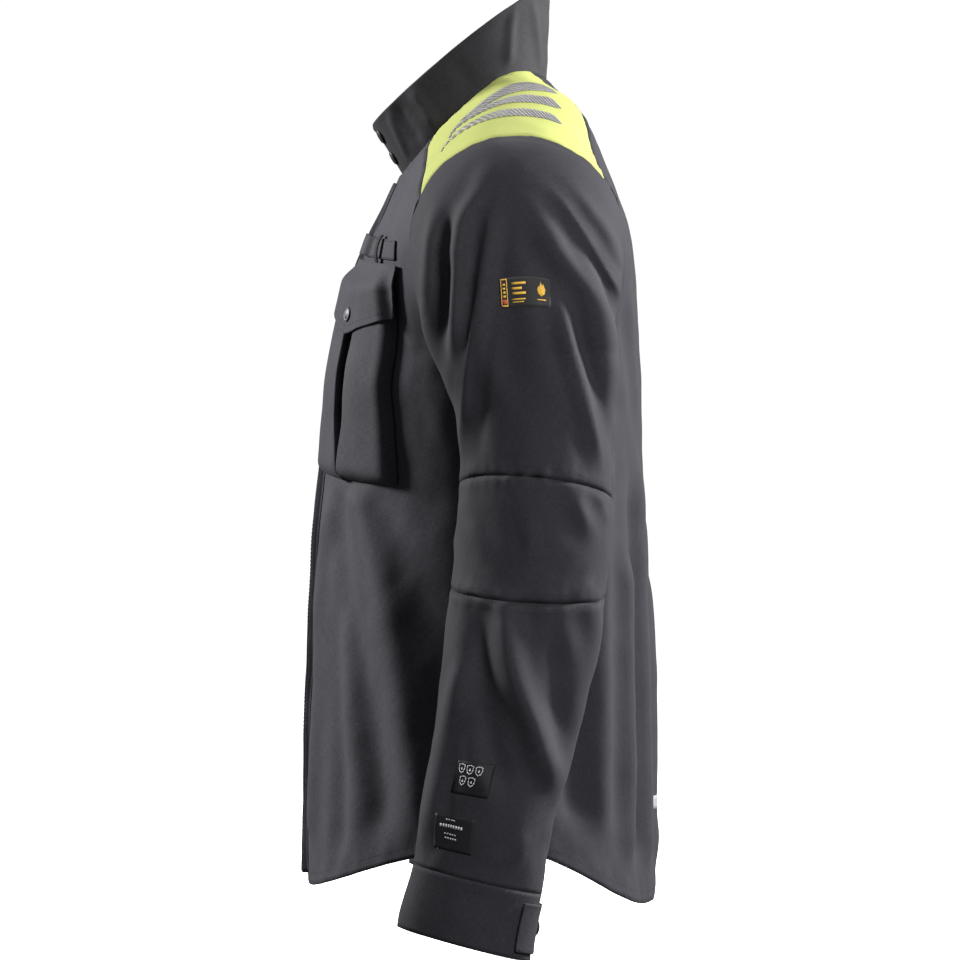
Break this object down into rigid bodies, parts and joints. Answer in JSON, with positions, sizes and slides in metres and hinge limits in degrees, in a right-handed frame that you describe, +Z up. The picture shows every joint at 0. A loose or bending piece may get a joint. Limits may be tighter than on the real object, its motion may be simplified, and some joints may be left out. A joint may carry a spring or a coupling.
{
  "type": "protective work coat",
  "caption": "Flame-resistant work coat with stand collar, lime shoulder yokes, silver bands, flap chest pockets, elbow panels and press-stud cuffs.",
  "frame": {"origin": "the hang loop's seat, on the neck seam at the centre back", "axes": "+Z up the back of the worn coat, +X towards the wearer's left, +Y out of the wearer's back, so the front faces -Y"},
  "size_m": [0.6694, 0.3183, 0.8324],
  "materials": {
    "main_cloth": "charcoal twill",
    "front_cloth": "lighter charcoal twill",
    "lime_cloth": "fluorescent lime twill",
    "reflective_film": "segmented silver heat-applied film",
    "collar_cloth": "black brushed twill",
    "tape": "black twill tape",
    "stud_metal": "gunmetal-finished press studs",
    "label": "blank woven satin",
    "badge_cloth": "embroidered, black with yellow",
    "print_film": "heat-applied print"
  },
  "bodies": {
    "torso": {"back_panel": "main_cloth", "left_front_panel": "front_cloth", "right_front_panel": "front_cloth", "left_shoulder_yoke": "lime_cloth", "right_shoulder_yoke": "lime_cloth", "left_reflectors": "reflective_film", "right_reflectors": "reflective_film", "outer_collar": "collar_cloth", "inner_collar": "collar_cloth", "neck_tape": "tape", "collar_stud_caps": "stud_metal", "collar_stud_posts": "stud_metal", "front_band_top": "front_cloth", "front_stud_posts": "stud_metal", "left_pocket": "front_cloth", "right_pocket": "front_cloth", "left_pocket_stud_post": "stud_metal", "right_pocket_stud_post": "stud_metal", "left_chest_loop": "front_cloth", "right_chest_loop": "front_cloth", "care_label": "label", "back_reflector": "reflective_film", "left_armhole_binding": "tape", "right_armhole_binding": "tape"},
    "hang_loop": {"hang_loop": "tape"},
    "front_band": {"front_band": "front_cloth", "front_band_stud_sockets": "stud_metal"},
    "left_pocket_flap": {"left_pocket_flap": "front_cloth", "left_flap_stud_cap": "stud_metal"},
    "left_upper_arm": {"left_upper_sleeve": "main_cloth", "left_elbow_panel": "main_cloth", "arm_badge": "badge_cloth"},
    "left_forearm": {"left_lower_sleeve": "main_cloth", "left_cuff": "main_cloth", "left_cuff_stud_post": "stud_metal", "upper_sleeve_print": "print_film", "lower_sleeve_print": "print_film"},
    "left_cuff_tab": {"left_cuff_tab": "main_cloth", "left_cuff_stud_cap": "stud_metal"},
    "right_pocket_flap": {"right_pocket_flap": "front_cloth", "right_flap_stud_cap": "stud_metal"},
    "right_upper_arm": {"right_upper_sleeve": "main_cloth", "right_elbow_panel": "main_cloth"},
    "right_forearm": {"right_lower_sleeve": "main_cloth", "right_cuff": "main_cloth", "right_cuff_stud_post": "stud_metal"},
    "right_cuff_tab": {"right_cuff_tab": "main_cloth", "right_cuff_stud_cap": "stud_metal"}
  },
  "joints": [
    {"name": "hang_loop_hinge", "type": "hinge", "parent": "torso", "child": "hang_loop", "pos_m": [0, -0.0089, 0], "axis": [-1, 0, 0], "range_deg": [0, 165]},
    {"name": "front_band_hinge", "type": "hinge", "parent": "torso", "child": "front_band", "pos_m": [0.022, -0.21125, -0.48706], "axis": [0, 0.0563, 0.9984], "range_deg": [0, 100]},
    {"name": "left_pocket_flap_hinge", "type": "hinge", "parent": "torso", "child": "left_pocket_flap", "pos_m": [0.1149, -0.15531, -0.1709], "axis": [-0.9729, -0.2117, 0.0931], "range_deg": [0, 75]},
    {"name": "left_shoulder_swing", "type": "hinge", "parent": "torso", "child": "left_upper_arm", "pos_m": [0.215, -0.027, -0.16], "axis": [-1, 0, 0], "range_deg": [-35, 110]},
    {"name": "left_elbow_bend", "type": "hinge", "parent": "left_upper_arm", "child": "left_forearm", "pos_m": [0.281, -0.045, -0.412], "axis": [-1, 0, 0], "range_deg": [0, 95], "deforming": ["left_elbow_panel"]},
    {"name": "left_cuff_tab_hinge", "type": "hinge", "parent": "left_forearm", "child": "left_cuff_tab", "pos_m": [0.3139, -0.02517, -0.7315], "axis": [-0.0257, -0.2048, -0.9785], "range_deg": [0, 110]},
    {"name": "right_pocket_flap_hinge", "type": "hinge", "parent": "torso", "child": "right_pocket_flap", "pos_m": [-0.1149, -0.15531, -0.1709], "axis": [-0.9729, 0.2117, -0.0931], "range_deg": [0, 75]},
    {"name": "right_shoulder_swing", "type": "hinge", "parent": "torso", "child": "right_upper_arm", "pos_m": [-0.215, -0.027, -0.16], "axis": [-1, 0, 0], "range_deg": [-35, 110]},
    {"name": "right_elbow_bend", "type": "hinge", "parent": "right_upper_arm", "child": "right_forearm", "pos_m": [-0.281, -0.045, -0.412], "axis": [-1, 0, 0], "range_deg": [0, 95], "deforming": ["right_elbow_panel"]},
    {"name": "right_cuff_tab_hinge", "type": "hinge", "parent": "right_forearm", "child": "right_cuff_tab", "pos_m": [-0.3139, -0.02517, -0.7315], "axis": [-0.0257, 0.2048, 0.9785], "range_deg": [0, 110]}
  ]
}
